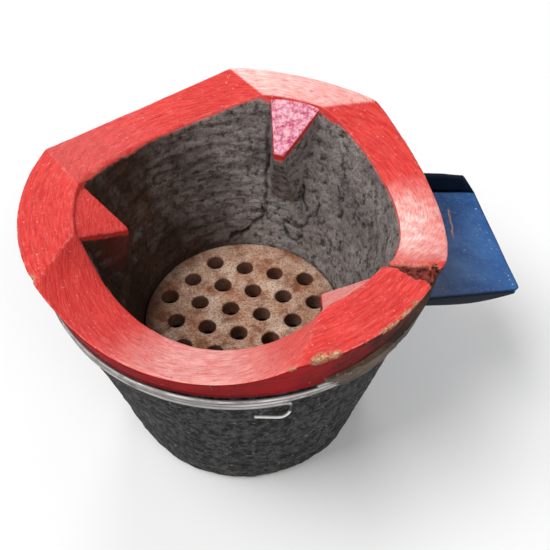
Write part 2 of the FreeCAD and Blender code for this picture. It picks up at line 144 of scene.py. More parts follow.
def clay_copy(node, name, voxel, rounds, bend=None):
    """A rounded, evenly meshed copy of one CAD solid."""
    form = bmesh.new()
    form.from_mesh(frame["nodes"][node].data)
    bmesh.ops.remove_doubles(form, verts=form.verts, dist=0.01 * MM)
    if bend:
        bend(form)
    mesh = bpy.data.meshes.new(name)
    form.to_mesh(mesh)
    form.free()
    piece = bpy.data.objects.new(name, mesh)
    bpy.context.collection.objects.link(piece)
    remesh = piece.modifiers.new("remesh", "REMESH")
    remesh.mode = "VOXEL"
    remesh.voxel_size = voxel
    even = bpy.data.meshes.new_from_object(piece.evaluated_get(bpy.context.evaluated_depsgraph_get()))
    piece.modifiers.clear()
    piece.data = even
    bpy.data.meshes.remove(mesh)
    even.name = name
    form = bmesh.new()
    form.from_mesh(even)
    soften(form, form.verts, rounds)
    form.to_mesh(even)
    form.free()
    for face in even.polygons:
        face.use_smooth = True
    return piece


# %% [markdown]
# A dent could be a texture, but real moves of the points also show in the outline. Each function below
# visits every point of a piece: one moves it along its normal, the others store a mask for the materials.


# %% Dents and masks
def sculpt(piece, depth):
    """Move every point along its normal by depth(place, normal, marks), where marks holds its masks."""
    layers = {}
    for layer in piece.data.attributes:
        if layer.data_type == "FLOAT" and layer.domain == "POINT":
            layers[layer.name] = layer.data
    form = bmesh.new()
    form.from_mesh(piece.data)
    form.normal_update()
    moves = []
    for vert in form.verts:
        marks = {name: data[vert.index].value for name, data in layers.items()}
        moves.append(vert.normal * depth(vert.co, vert.normal, marks))
    for vert, move in zip(form.verts, moves):
        vert.co += move
    form.to_mesh(piece.data)
    form.free()
    piece.data.update()


def write_mask(piece, name, value):
    """Store value(place, normal) on every point, for the materials."""
    layer = piece.data.attributes.new(name, "FLOAT", "POINT")
    layer.data.foreach_set("value", [value(v.co, v.normal) for v in piece.data.vertices])


def write_sweep(piece, pace=1.0):
    """Store a vector that changes slowly round the stove and quickly across it, for brushed streaks."""
    layer = piece.data.attributes.new("sweep", "FLOAT_VECTOR", "POINT")
    values = []
    for v in piece.data.vertices:
        x, y, z = v.co
        radius = math.hypot(x, y) or 1e-6
        values += (pace * x / radius, pace * y / radius, (radius + z) * 60)
    layer.data.foreach_set("vector", values)


def write_edges(piece, voxel):
    """Store how convex each point is, so that paint can wear along the edges."""
    form = bmesh.new()
    form.from_mesh(piece.data)
    form.normal_update()
    values = []
    for vert in form.verts:
        around = Vector()
        for edge in vert.link_edges:
            around += edge.other_vert(vert).co
        count = max(len(vert.link_edges), 1)
        values.append(soft_step(0.04, 0.2, -(around / count - vert.co).dot(vert.normal) / voxel))
    form.free()
    layer = piece.data.attributes.new("edge", "FLOAT", "POINT")
    layer.data.foreach_set("value", values)


def rough(place, size, octaves=4):
    """Fractal noise of about -1 to 1 whose lumps have the given size."""
    return noise.fractal(place / size, 1.0, 2.0, octaves)


def adopt(piece, node, body):
    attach(piece, body)
    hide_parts(node)
    print(piece.name, len(piece.data.vertices), "points")


print("clay noise at one place", round(rough(polar(0, RIM_RADIUS, RIM_HEIGHT), 12 * MM), 3))

# %% [markdown]
# The fire bowl is the largest piece: red paint on the collar and the scalloped rim, bare sooted clay inside.
# Three dips are cut in its rim as shallow arcs, so a function gives the rim's height at any place in plan.
# The same numbers then shape the rim's top, both its edges and the roots of the pot rests.

# %% Rim heights
# Each dip of the rim: direction in degrees, half width, depth at the inner and at the outer edge
DIPS = (
    (0.4, 0.0800, 0.0205, 0.0210),
    (118.0, 0.0775, 0.0176, 0.0165),
    (239.6, 0.0815, 0.0362, 0.0225),
)
DIP_INNER, DIP_OUTER = 0.0995, 0.132
COLLAR_FOOT_RADIUS = 0.131
COLLAR_INSIDE = 0.127
LAND_TURNS = (178.0, 58.0, -60.5)
# The mouth was cut a little off the collar's centre, and the collar is flatter along the back land
MOUTH_SHIFT = turn_to_stove.to_3x3() @ Vector((3.0 * MM, -1.0 * MM, 0))
SHIFT_START = 0.100
BACK_FLAT = 3.4 * MM


def turn_gap(first, second):
    """The angle between two directions, in degrees."""
    return abs((first - second + 180) % 360 - 180)


def rim_height(x, y):
    """Height of the rim's top at a place in plan."""
    lowest = RIM_HEIGHT
    for degrees, half_width, inner, outer in DIPS:
        turn = math.radians(degrees)
        out = x * math.cos(turn) + y * math.sin(turn)
        across = y * math.cos(turn) - x * math.sin(turn)
        if out > 0 and abs(across) < half_width:
            depth = inner + (outer - inner) * (out - DIP_INNER) / (DIP_OUTER - DIP_INNER)
            radius = (half_width ** 2 + depth ** 2) / (2 * depth)
            lowest = min(lowest, RIM_HEIGHT - depth + radius - math.sqrt(radius ** 2 - across ** 2))
    return lowest


def collar_radius(height):
    slope = (RIM_RADIUS - COLLAR_FOOT_RADIUS) / (RIM_HEIGHT - COLLAR_FOOT)
    return COLLAR_FOOT_RADIUS + slope * (height - COLLAR_FOOT)


def back_flat(angle):
    """How far the collar's edge falls short of its circle."""
    return BACK_FLAT * soft_step(30, 5, turn_gap(math.degrees(angle), LAND_TURNS[1]))


def mouth_bulge(angle):
    """How far the mouth's edge stands in along the right land."""
    return 3.0 * MM * soft_step(20, 11, turn_gap(math.degrees(angle), -57))


def rim_edge(angle, radius_at, shift):
    """Radius and height at which the rim's top meets the wall that radius_at describes."""
    radius, height = radius_at(RIM_HEIGHT), RIM_HEIGHT
    for _ in range(8):
        height = rim_height(radius * math.cos(angle) + shift.x, radius * math.sin(angle) + shift.y)
        radius = radius_at(height)
    return radius, height


print("lowest rim", round(rim_edge(math.radians(239.6), bowl_radius, MOUTH_SHIFT)[1], 4))

# %% [markdown]
# A voxel remesh would leave small teeth along the rim's long edges. So this piece is spun from its half
# section: rows of faces then run along the edges, and lowering the rim's rows into the three dips keeps
# the edges clean.

# %% Fire bowl form
BOWL_STEPS = 560
COLLAR_LIP = COLLAR_FOOT - 3.2 * MM
LEDGE = 6 * MM
# Corners of the half section and the number of rows to the next corner
BOWL_SECTION = (
    (BOWL_FLOOR_RADIUS, GRATE_TOP, 100),
    (BOWL_MOUTH_RADIUS, RIM_HEIGHT, 27),
    (RIM_RADIUS, RIM_HEIGHT, 17),
    (COLLAR_FOOT_RADIUS + 0.3 * MM, COLLAR_LIP, 1),
    (COLLAR_FOOT_RADIUS - 2.0 * MM, COLLAR_LIP, 3),
    (0.115, COLLAR_FOOT, 8),
    (0.088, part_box("fire_bowl")[0][2], 3),
    (BOWL_FLOOR_RADIUS - LEDGE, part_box("fire_bowl")[0][2], 3),
    (BOWL_FLOOR_RADIUS - LEDGE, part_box("grate")[0][2], 2),
    (BOWL_FLOOR_RADIUS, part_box("grate")[0][2], 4),
)
WALL_STILL = 0.150
SOOT_TOP = 1.8 * MM
EDGE_ROUNDS = 2


def spin_section(section, steps):
    """A closed ring of even rows, spun from the corners of a half section."""
    form = bmesh.new()
    loop = []
    for (r, z, rows), (next_r, next_z, _) in zip(section, section[1:] + section[:1]):
        start, end = Vector((r, 0, z)), Vector((next_r, 0, next_z))
        loop += [form.verts.new(start.lerp(end, i / rows)) for i in range(rows)]
    for start, end in zip(loop, loop[1:] + loop[:1]):
        form.edges.new((start, end))
    bmesh.ops.spin(form, geom=form.verts[:] + form.edges[:], cent=(0, 0, 0), axis=(0, 0, 1), dvec=(0, 0, 0),
                   angle=2 * math.pi, steps=steps, use_merge=True, use_duplicate=False)
    bmesh.ops.remove_doubles(form, verts=form.verts, dist=0.001 * MM)
    bmesh.ops.recalc_face_normals(form, faces=form.faces)
    return form


def finish_form(form, name):
    mesh = bpy.data.meshes.new(name)
    form.to_mesh(mesh)
    form.free()
    for face in mesh.polygons:
        face.use_smooth = True
    piece = bpy.data.objects.new(name, mesh)
    bpy.context.collection.objects.link(piece)
    return piece


def make_bowl():
    form = spin_section(BOWL_SECTION, BOWL_STEPS)
    soot = form.verts.layers.float.new("soot")
    collar = form.verts.layers.float.new("collar")
    known = {}
    edges = []
    for vert in form.verts:
        x, y, z = vert.co
        radius, angle = math.hypot(x, y), math.atan2(y, x)
        flat, bulge = back_flat(angle), mouth_bulge(angle)
        key = round(angle, 5)
        if key not in known:
            outside = rim_edge(angle, lambda height: collar_radius(height) - flat, Vector())
            known[key] = rim_edge(angle, lambda height: bowl_radius(height) - bulge, MOUTH_SHIFT), outside
        (inner, inner_top), (outer, outer_top) = known[key]
        shift = Vector()
        if z > RIM_HEIGHT - 0.01 * MM:
            share = (radius - BOWL_MOUTH_RADIUS) / (RIM_RADIUS - BOWL_MOUTH_RADIUS)
            radius = inner + (outer - inner) * share
            shift = MOUTH_SHIFT * (1 - share)
            z = rim_height(radius * math.cos(angle) + shift.x, radius * math.sin(angle) + shift.y)
            if share < 0.1 or share > 0.9:
                edges.append(vert)
        elif radius > COLLAR_INSIDE:
            # The collar mask paints shade in part: the red turns darker on the collar's faces
            vert[collar] = 1.0
            lift = (z - COLLAR_LIP) / (RIM_HEIGHT - COLLAR_LIP)
            z = COLLAR_LIP + lift * (outer_top - COLLAR_LIP)
            if vert.co.z > COLLAR_LIP + 1 * MM:
                radius = collar_radius(z) - flat * lift
            if outer_top - z < 3 * MM:
                edges.append(vert)
        elif z > GRATE_TOP - 0.01 * MM and radius < bowl_radius(z) + 0.01 * MM:
            if z > WALL_STILL:
                z = WALL_STILL + (z - WALL_STILL) * (inner_top - WALL_STILL) / (RIM_HEIGHT - WALL_STILL)
                radius = bowl_radius(z) - bulge * soft_step(WALL_STILL, inner_top, z)
            shift = MOUTH_SHIFT * soft_step(SHIFT_START, inner_top, z)
            beside_rest = max(soft_step(18, 13, turn_gap(math.degrees(angle), t)) for t in LAND_TURNS)
            ragged = SOOT_TOP + 3.5 * MM * beside_rest + 0.6 * MM * rough(vert.co, 9 * MM, 3)
            vert[soot] = soft_step(ragged - 0.6 * MM, ragged + 0.6 * MM, inner_top - z)
            if inner_top - z < 2.5 * MM:
                edges.append(vert)
        elif radius < COLLAR_INSIDE:
            vert[soot] = 1.0
        vert.co = (radius * math.cos(angle) + shift.x, radius * math.sin(angle) + shift.y, z)
    soften(form, edges, EDGE_ROUNDS)
    return finish_form(form, "fire_bowl_clay")


BOWL_ROW = 1.5 * MM
bowl = make_bowl()
write_edges(bowl, BOWL_ROW)
print("bowl spun with", len(bowl.data.polygons), "faces")

# %% [markdown]
# Pots have knocked chips out of the rim, above all along the crease at the right-hand land. Cutting each
# chip with a boolean would be slow and leave knife edges. A ball with a noisy border, used both as a
# depth and as a mask, gives a ragged chip and its colour together.

# %% Chips and the broken corner
# Each chip: angle in degrees, radius and height of its middle, size and depth
RIM_CHIPS = (
    (-79.2, 0.1395, 0.2115, 0.0054, 0.0020),
    (-75.6, 0.1398, 0.2115, 0.0044, 0.0016),
    (-86.3, 0.1400, 0.2118, 0.0032, 0.0012),
    (-62.0, 0.1404, 0.2118, 0.0026, 0.0009),
    (-60.0, 0.1404, 0.2118, 0.0030, 0.0010),
    (-58.0, 0.1404, 0.2118, 0.0026, 0.0009),
    (-55.5, 0.1404, 0.2118, 0.0032, 0.0011),
    (-53.5, 0.1404, 0.2118, 0.0028, 0.0010),
    (-51.0, 0.1402, 0.2115, 0.0034, 0.0012),
    (95.0, 0.1400, 0.2120, 0.0035, 0.0014),
    (201.0, 0.1395, 0.2110, 0.0042, 0.0012),
)
CHIP_PLACES = [(polar(a, r, z), size, depth) for a, r, z, size, depth in RIM_CHIPS]
# The broken corner where the right dip meets its land: its two ends in plan and its half width at each
BREAK_START = Vector((0.083, -0.075))
BREAK_END = Vector((0.108, -0.091))
BREAK_HALF_WIDTHS = (3.8 * MM, 9.0 * MM)


def broken_corner(place):
    """How far inside the broken corner a place is, and on which side of its middle."""
    span = BREAK_END - BREAK_START
    way = span.normalized()
    gap = place.xy - BREAK_START
    share = gap.dot(way) / span.length
    if place.z < 0.186 or not -0.45 < share < 1.6:
        return 0.0, 0.0
    half_width = BREAK_HALF_WIDTHS[0] + (BREAK_HALF_WIDTHS[1] - BREAK_HALF_WIDTHS[0]) * share
    side = gap.dot(Vector((-way.y, way.x))) / half_width
    return soft_step(0.0, 0.25, 1 - abs(side) + 0.4 * rough(place, 5 * MM, 2)), side


def chip_edge(place, centre, size):
    return soft_step(0.0, 0.3, 1 - (place - centre).length / size + 0.3 * rough(place, 6 * MM, 2))


def chip_mask(place, normal):
    chips = [chip_edge(place, c, s) for c, s, _ in CHIP_PLACES if (place - c).length < 1.6 * s]
    return max(chips + [broken_corner(place)[0]])


def chip_depth(place):
    inside, side = broken_corner(place)
    deep = 1.8 + 3.4 * soft_step(-0.7, 0.7, side) + 1.6 * rough(place, 4 * MM, 2)
    corner = inside * deep * MM
    chips = [d * chip_edge(place, c, s) for c, s, d in CHIP_PLACES if (place - c).length < 1.6 * s]
    return max(chips + [corner])


print("chips", len(CHIP_PLACES), "and one broken corner", round((BREAK_END - BREAK_START).length, 4), "m long")

# %% [markdown]
# The wall inside shows how the clay was laid: a slab with ridges on the left, joints beside the rests,
# and cracks from the fire. The cracks are short lines drawn on the wall, and noise bends them, because a
# crack that is only painted on stays flat when the light moves.

# %% Cracks in the bowl's wall
# Cracks and joints in the bowl's wall, as angle and height along each line
WALL_CRACKS = (
    ((67, 0.166), (69, 0.149), (69, 0.127), (70.5, 0.113), (74.6, 0.106), (80.5, 0.098), (90, 0.092)),
    ((55, 0.160), (51.7, 0.147), (48.9, 0.135), (46, 0.128)),
    ((4.7, 0.157), (0.6, 0.147), (-4.9, 0.137)),
    ((32.6, 0.187), (33.5, 0.172), (30.4, 0.155)),
    ((29, 0.150), (24.9, 0.1475), (26, 0.138)),
    ((42.8, 0.144), (39, 0.138), (39.5, 0.126)),
    ((58, 0.112), (50, 0.110), (44, 0.118), (43, 0.124)),
    ((58, 0.106), (54, 0.098), (48, 0.098), (45, 0.104)),
)
CRACK_LINES = [[polar(a, bowl_radius(z), z) for a, z in line] for line in WALL_CRACKS]


def line_distance(place, line):
    best = 1.0
    for a, b in zip(line, line[1:]):
        span = b - a
        t = min(max((place - a).dot(span) / span.length_squared, 0.0), 1.0)
        best = min(best, (place - a - span * t).length)
    return best


def wall_crack(place, normal):
    """1 in the middle of a crack or joint of the wall, 0 away from all of them."""
    if place.x < 0 or math.hypot(place.x, place.y) > bowl_radius(place.z) + 4 * MM or place.z > 0.2:
        return 0.0
    bent = place + noise.noise_vector(place / (8 * MM)) * 2.4 * MM
    gaps = [line_distance(bent, line) for line in CRACK_LINES]
    width = (2.2 + 1.2 * rough(place, 10 * MM, 3)) * MM
    marks = [soft_step(width, 0.2 * MM, gap) for gap in gaps]
    return max(marks)


print("cracks", len(CRACK_LINES))

# %% [markdown]
# Wet clay pressed on by hand is lumpy at two sizes, and fingers leave level ridges. Stretching the noise
# sideways makes ridges out of lumps.


# %% Uneven clay
def wall_depth(place, marks):
    """The hand-laid clay inside: lumps, a slab on the left with finger ridges, and every crack."""
    angle = math.degrees(math.atan2(place.y, place.x)) % 360
    slab_edge = max(0.113 - 0.00139 * (angle - 70), 0.086)
    slab = soft_step(68.3, 69.8, angle + 0.8 * rough(place, 14 * MM, 2)) * soft_step(190, 160, angle)
    slab *= soft_step(-0.6 * MM, 1.0 * MM, place.z - slab_edge)
    ridges = noise.fractal(Vector((place.x / 24, place.y / 24, place.z / 5.5)) / MM, 0.9, 2.0, 4)
    lumps = 1.1 * MM * rough(place, 20 * MM, 3) + 0.8 * MM * rough(place, 6 * MM, 4)
    return lumps + slab * (1.7 + 1.5 * ridges) * MM - 2.2 * MM * marks["crack"]


def bowl_depth(place, normal, marks):
    move = 0.7 * MM * rough(place, 75 * MM, 2) - chip_depth(place)
    move += 0.2 * MM * rough(place, 9 * MM, 3) * (1 - marks["soot"])
    if marks["soot"] > 0.01 and place.z > GRATE_TOP + 0.5 * MM:
        move += marks["soot"] * wall_depth(place, marks) * soft_step(GRATE_TOP, GRATE_TOP + 6 * MM, place.z)
    return move


print("wall at the slab", round(wall_depth(polar(110, 0.09, 0.15), {"crack": 0.0}), 5))


# %% [markdown]
# The paint and clay change in patches: painted glare pales the red on the back land and in two dips,
# smoke and painted shade brown the wall inside on the left and low down, and dirt and painted shade darken
# the collar over the shelf. Each patch is a mask by angle and height, with noise on its border, so that the
# materials only have to blend colours.


# %% Painted glare, smoke with painted shade, and dirt with painted shade
def glare_on_paint(place, normal):
    """Painted glare: the red is painted paler on the back land, the right dip and in strokes in the front dip.
    """
    if normal.z < 0.5:
        return 0.0
    angle = math.degrees(math.atan2(place.y, place.x))
    land = soft_step(0.5 * MM, 0.1 * MM, RIM_HEIGHT - rim_height(place.x, place.y))
    radius = math.hypot(place.x, place.y)
    mottle = 0.5 * rough(place, 6 * MM, 4)
    back = land * soft_step(24, 30, angle) * soft_step(100, 94, angle)
    back *= 0.6 + 0.2 * soft_step(48, 78, angle)
    right = (1 - land) * soft_step(-44, -26, angle) * soft_step(12, -10, angle)
    right *= 0.42 + 0.34 * soft_step(0.134, 0.112, radius)
    front = (1 - land) * soft_step(-140, -114, angle) * soft_step(-64, -72, angle)
    front *= 0.1 + 0.38 * soft_step(-82, -104, angle)
    return max(back * (1 + 0.25 * mottle), right * (1 + mottle), front * (1 + 0.6 * mottle), 0.0)


def smoke_and_shade_brown(place, normal):
    """Brown smoke with painted shade on the left of the wall and low down, plain grey clay on the right."""
    angle = math.degrees(math.atan2(place.y, place.x)) % 360
    left = soft_step(58, 150, angle) * soft_step(330, 280, angle)
    low = 0.35 * soft_step(0.135, 0.09, place.z) * soft_step(60, 100, angle)
    return min(max(left + low + 0.3 * left * rough(place, 14 * MM, 3), 0.0), 1.0)


def collar_grime_and_shade(place, normal):
    """Dirt and painted shade on the outside of the collar on the right, over the shelf."""
    angle = math.degrees(math.atan2(place.y, place.x))
    side = soft_step(-84, -62, angle + 6 * rough(place, 16 * MM, 3)) * soft_step(60, 20, angle)
    return side * (0.85 + 0.5 * rough(place, 7 * MM, 3))


write_mask(bowl, "bare", chip_mask)
write_mask(bowl, "broken", lambda place, normal: broken_corner(place)[0])
write_mask(bowl, "crack", wall_crack)
# Painted glare: paler red where light glints on the rim
write_mask(bowl, "painted_glare", glare_on_paint)
# Brown smoke with painted shade: the left and the lower wall are painted brown and dark
write_mask(bowl, "brown", smoke_and_shade_brown)
# Dirt and painted shade on the collar's right side
write_mask(bowl, "grime_and_shade", collar_grime_and_shade)
sculpt(bowl, bowl_depth)
write_sweep(bowl)
adopt(bowl, "fire_bowl", "stove")

# %% [markdown]
# The three pot rests are wedges of clay pressed on to the wall, each a little crooked. Paint covers their
# sloping tops and just turns over the edges, so the cheeks below are sooted. A copy of each solid is bent,
# remeshed in small faces and smoothed very little, because these edges are still sharp.

# %% Pot rests
REST_VOXEL = 0.9 * MM
REST_TOP = 0.2124
REST_NOSE_TOP = 0.190
# Each rest: direction in degrees, reach from the axis, widening and sideways shift of its root,
# narrowing and sideways lean of its nose, and depth of paint below its top
RESTS = {
    "left": (178.0, 0.0736, 1.50, -6.0 * MM, 0.45, -0.7 * MM, 5.0 * MM),
    "back": (58.0, 0.0705, 0.98, 5.1 * MM, 1.3, 0.0, 5.5 * MM),
    "right": (-60.5, 0.0835, 1.42, 1.5 * MM, 0.35, -0.5 * MM, 9.0 * MM),
}


def rest_frame(place, degrees):
    """A place measured along and across one rest."""
    turn = math.radians(degrees)
    along = place.x * math.cos(turn) + place.y * math.sin(turn)
    across = place.y * math.cos(turn) - place.x * math.sin(turn)
    return along, across


def bend_rest(form, side):
    degrees, reach, widen, shift, narrow, lean, _ = RESTS[side]
    turn = math.radians(degrees)
    root_move = MOUTH_SHIFT - polar(degrees, mouth_bulge(turn), 0)
    for vert in form.verts:
        along, across = rest_frame(vert.co, degrees)
        nose = min(max((BOWL_MOUTH_RADIUS - along) / (BOWL_MOUTH_RADIUS - reach), 0.0), 1.0)
        across = across * (widen + (narrow - widen) * nose) + shift * (1 - nose) + lean * nose
        if math.hypot(vert.co.x, vert.co.y) > bowl_radius(vert.co.z) - 0.6 * MM:
            along += 2.5 * MM
        follow = root_move * (1 - nose) * soft_step(SHIFT_START, RIM_HEIGHT, vert.co.z)
        vert.co.x = along * math.cos(turn) - across * math.sin(turn) + follow.x
        vert.co.y = along * math.sin(turn) + across * math.cos(turn) + follow.y


def rest_depth(place, normal, marks):
    return (0.2 + 0.5 * marks["soot"]) * MM * rough(place, 12 * MM, 4) + 0.12 * MM * rough(place, 4 * MM, 2)


def rest_soot(side):
    degrees, reach, _, _, _, _, painted = RESTS[side]
    fall = (REST_TOP - REST_NOSE_TOP) / (BOWL_MOUTH_RADIUS - reach)

    def sooted(place, normal):
        along, _ = rest_frame(place, degrees)
        below = REST_TOP - fall * (BOWL_MOUTH_RADIUS - along) - place.z
        return soft_step(painted - 0.8 * MM, painted + 0.8 * MM, below + 1.2 * MM * rough(place, 9 * MM, 2))
    return sooted


def left_nose_red_tint(place):
    """Where the sooted clay near the left rest's nose is tinted dark red."""
    return soft_step(0.100, 0.080, -place.x) * soft_step(0.150, 0.175, place.z)


for side in RESTS:
    node = "pot_rest_" + side
    rest = clay_copy(node, node + "_clay", REST_VOXEL, 2, lambda form: bend_rest(form, side))
    write_edges(rest, REST_VOXEL)
    write_mask(rest, "soot", rest_soot(side))
    # Painted highlight: the right rest's top is painted paler where light falls on it
    write_mask(rest, "painted_glare", lambda place, normal: 0.4 if side == "right" and normal.z > 0.5 else 0.0)
    write_mask(rest, "brown", smoke_and_shade_brown)
    write_mask(rest, "rose", lambda place, normal: 1.0 if side == "back" and normal.z > 0.5 else 0.0)
    # Painted shade: the rests' side faces are painted darker red
    write_mask(rest, "collar", lambda place, normal: 0.35 if normal.z < 0.45 else 0.0)
    write_mask(rest, "nose_red_tint", lambda place, normal: left_nose_red_tint(place) if side == "left" else 0.0)
    sculpt(rest, rest_depth)
    write_sweep(rest)
    adopt(rest, node, "stove")

# %% [markdown]
# The grate is a loose disc of bare clay with punched holes, and it rides on its own body so that it can be
# lifted out. Its top is worn by fire and rakes, so only shallow dents are added to the copy of its solid.

# %% Grate
GRATE_VOXEL = 1.05 * MM


def grate_depth(place, normal, marks):
    return 0.35 * MM * rough(place, 15 * MM, 3) + 0.12 * MM * rough(place, 3 * MM, 3)


def grate_edge_darkening(place, normal):
    """Darker towards the edge of the grate, most of all on the left and at the front."""
    radius = math.hypot(place.x, place.y) + 5 * MM * rough(place, 12 * MM, 3)
    left = soft_step(0.03, -0.06, place.x + 0.4 * place.y)
    return soft_step(0.056, 0.073, radius) * (0.25 + 0.75 * left)


grate = clay_copy("grate", "grate_clay", GRATE_VOXEL, 3)
write_edges(grate, GRATE_VOXEL)
sculpt(grate, grate_depth)
# Painted shade on the walls of the holes
write_mask(grate, "hole_shade", lambda place, normal: soft_step(0.75, 0.3, abs(normal.z)))
write_mask(grate, "darker_edge", grate_edge_darkening)
adopt(grate, "grate", "grate")

# %% [markdown]
# The jacket is the black bucket that the bowl sits in. Grit stands out of its skin. The finest grain is
# left to the material, and only the slow swell and the coarse skin are real dents, which the outline shows.

# %% Jacket
JACKET_VOXEL = 2.1 * MM


def jacket_depth(place, normal, marks):
    swell = 0.9 * MM * rough(place, 60 * MM, 2)
    skin = 0.7 * MM * rough(place, 8 * MM, 4)
    return (swell + skin) * soft_step(0.0, 6 * MM, place.z)


jacket = clay_copy("jacket", "jacket_clay", JACKET_VOXEL, 3)
write_edges(jacket, JACKET_VOXEL)
sculpt(jacket, jacket_depth)
write_sweep(jacket)
adopt(jacket, "jacket", "stove")

# %% [markdown]
# Mortar closes the joint under the collar. On the right it was smeared over the wire, which hides it there.
# A closed ring is spun from a small section and then pushed in or out of the jacket's skin.

# %% Mortar bead
MORTAR_STEPS = 360
MORTAR_ROWS = 13
MORTAR_LOW = 0.154
MORTAR_HIGH = COLLAR_FOOT - 0.2 * MM
MORTAR_DEPTH = 6 * MM


def smear(degrees, height):
    """How thick the mortar stands on the jacket, in metres."""
    place = polar(degrees, JACKET_TOP_RADIUS, height)
    under_collar = soft_step(0.1745, 0.1775, height) * 1.2 * MM
    ragged = 5 * rough(place, 14 * MM, 3)
    patch = soft_step(-79, -66, degrees + ragged) * soft_step(40, 14, degrees + ragged)
    patch *= soft_step(0.1545, 0.1635, height)
    thick = patch * (5.2 * MM + 0.8 * MM * rough(place, 10 * MM, 3))
    return max(under_collar, thick) + 0.4 * MM * rough(place, 9 * MM, 3) - 0.7 * MM


def make_mortar():
    low, high = jacket_radius(MORTAR_LOW), jacket_radius(MORTAR_HIGH)
    section = (
        (low, MORTAR_LOW, MORTAR_ROWS),
        (high, MORTAR_HIGH, 1),
        (high - MORTAR_DEPTH, MORTAR_HIGH, 1),
        (low - MORTAR_DEPTH, MORTAR_LOW, 1),
    )
    form = spin_section(section, MORTAR_STEPS)
    for vert in form.verts:
        radius = vert.co.xy.length
        if radius > jacket_radius(vert.co.z) - 1 * MM:
            degrees = math.degrees(math.atan2(vert.co.y, vert.co.x))
            vert.co.xy *= 1 + smear(degrees, vert.co.z) / radius
    return finish_form(form, "mortar_bead")


mortar = make_mortar()
adopt(mortar, "mortar_bed", "stove")

# %% [markdown]
# The hoop is one length of wire: three turns round the jacket, a hook and a loose tail.
# A bevelled curve follows it, because a curve keeps a wire's section round however it bends.
# Its underside is painted dark as painted shade, the end that leaves the mortar is dirty, and the tail stayed
# clean.

# %% Wire hoop
WIRE_RADIUS = 1.3 * MM
WIRE_GAP = 0.9 * MM
TAIL_THIN = 0.75
HOOP_TURNS = 3
HOOP_PITCH = 4.4 * MM
HOOP_TOP = COLLAR_FOOT - 6 * MM
HOOP_START = math.radians(-78)
HOOP_END = math.radians(-85.5) + HOOP_TURNS * 2 * math.pi
HOOP_STEPS = 80 * HOOP_TURNS
# The tail, as angle in degrees and height on the jacket
TAIL = ((-84.6, 0.1575), (-84.4, 0.151), (-84.4, 0.1445), (-85.2, 0.1392), (-86.8, 0.1372),
        (-88.8, 0.1395), (-91.5, 0.1425), (-94.4, 0.1445))


def hoop_point(angle):
    height = HOOP_TOP - HOOP_PITCH * (angle - HOOP_START) / (2 * math.pi)
    wander = Vector((math.cos(angle), math.sin(angle), (angle - HOOP_START) * 0.7))
    height += 0.55 * MM * noise.noise(wander * 2.2)
    radius = jacket_radius(height) + WIRE_RADIUS + WIRE_GAP
    return Vector((radius * math.cos(angle), radius * math.sin(angle), height))


def make_hoop():
    steps = [HOOP_START + (HOOP_END - HOOP_START) * i / HOOP_STEPS for i in range(HOOP_STEPS + 1)]
    route = [hoop_point(a) for a in steps]
    route += [polar(degrees, jacket_radius(z) + WIRE_RADIUS + WIRE_GAP, z) for degrees, z in TAIL]
    curve = bpy.data.curves.new("hoop_route", "CURVE")
    curve.dimensions = "3D"
    curve.bevel_depth = WIRE_RADIUS
    curve.bevel_resolution = 3
    curve.use_fill_caps = True
    spline = curve.splines.new("NURBS")
    spline.points.add(len(route) - 1)
    spline.order_u = 3
    spline.use_endpoint_u = True
    spline.resolution_u = 3
    for point, place in zip(spline.points, route):
        point.co = (*place, 1)
    for point in spline.points[-len(TAIL) + 1:]:
        point.radius = TAIL_THIN
    holder = bpy.data.objects.new("hoop_route", curve)
    bpy.context.collection.objects.link(holder)
    mesh = bpy.data.meshes.new_from_object(holder.evaluated_get(bpy.context.evaluated_depsgraph_get()))
    bpy.data.objects.remove(holder)
    mesh.name = "wire_hoop_wire"
    piece = bpy.data.objects.new("wire_hoop_wire", mesh)
    bpy.context.collection.objects.link(piece)
    return piece


def wire_dirt_and_shade(place, normal):
    """Painted shade on the underside of every turn, and dirt where the tail comes out of the mortar."""
    return max(soft_step(0.35, -0.3, normal.z), soft_step(0.1585, 0.1570, place.z))


hoop = make_hoop()
write_mask(hoop, "tail", lambda place, normal: soft_step(0.1475, 0.1455, place.z))
# Painted shade on the undersides of the turns, dirt where the tail leaves the mortar
write_mask(hoop, "dirt_and_shade", wire_dirt_and_shade)
write_sweep(hoop, 0.25)
adopt(hoop, "wire_hoop", "stove")

# %% [markdown]
# The side shelf is one folded sheet. A flat grid becomes the floor, and its outer rows fold into the two
# flanges, up on the far side and down on the near side. Modifiers round the folds and give the sheet its
# thickness, so the folds stay as easy to change as on a real sheet.

# %% Side shelf
SHEET = 1.2 * MM
SHELF_SLOPE = math.radians(7.6)
SHELF_ROLL = math.radians(1.1)
SHELF_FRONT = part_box("side_shelf")[1][0] / math.cos(SHELF_SLOPE)
SHELF_AXIS_HEIGHT = 0.136 + 0.1908 * math.tan(SHELF_SLOPE)
SHELF_START = 0.110
SHELF_HALF_WIDTH = 0.0508
SHELF_TAPER = math.tan(math.radians(3.2))
FLANGE_START = 0.117
FAR_FLANGE = 18.5 * MM
FAR_CLIP = 14.5 * MM
NEAR_FLANGE = 8.2 * MM
NEAR_FLANGE_ROOT = 5.5 * MM
CORNER = 4 * MM
FLANGE_ROWS = 5
SHELF_COLUMNS = 40
SHELF_ROWS = 44


def shelf_flange(side, x):
    """Height of a flange at a distance along the shelf: up on the far side, down on the near side."""
    to_front = SHELF_FRONT - x
    if side > 0:
        share = to_front / FAR_CLIP
        return FAR_FLANGE * min(0.02 + 0.92 * share, 0.9 + 0.1 * soft_step(0.9, 2.4, share))
    share = (x - FLANGE_START) / (SHELF_FRONT - FLANGE_START)
    belly = NEAR_FLANGE - (NEAR_FLANGE - NEAR_FLANGE_ROOT) * (1 - 2 * share) ** 2
    if share > 0.5:
        belly = NEAR_FLANGE * (1 - 0.9 * (2 * share - 1) ** 1.7)
    return -belly


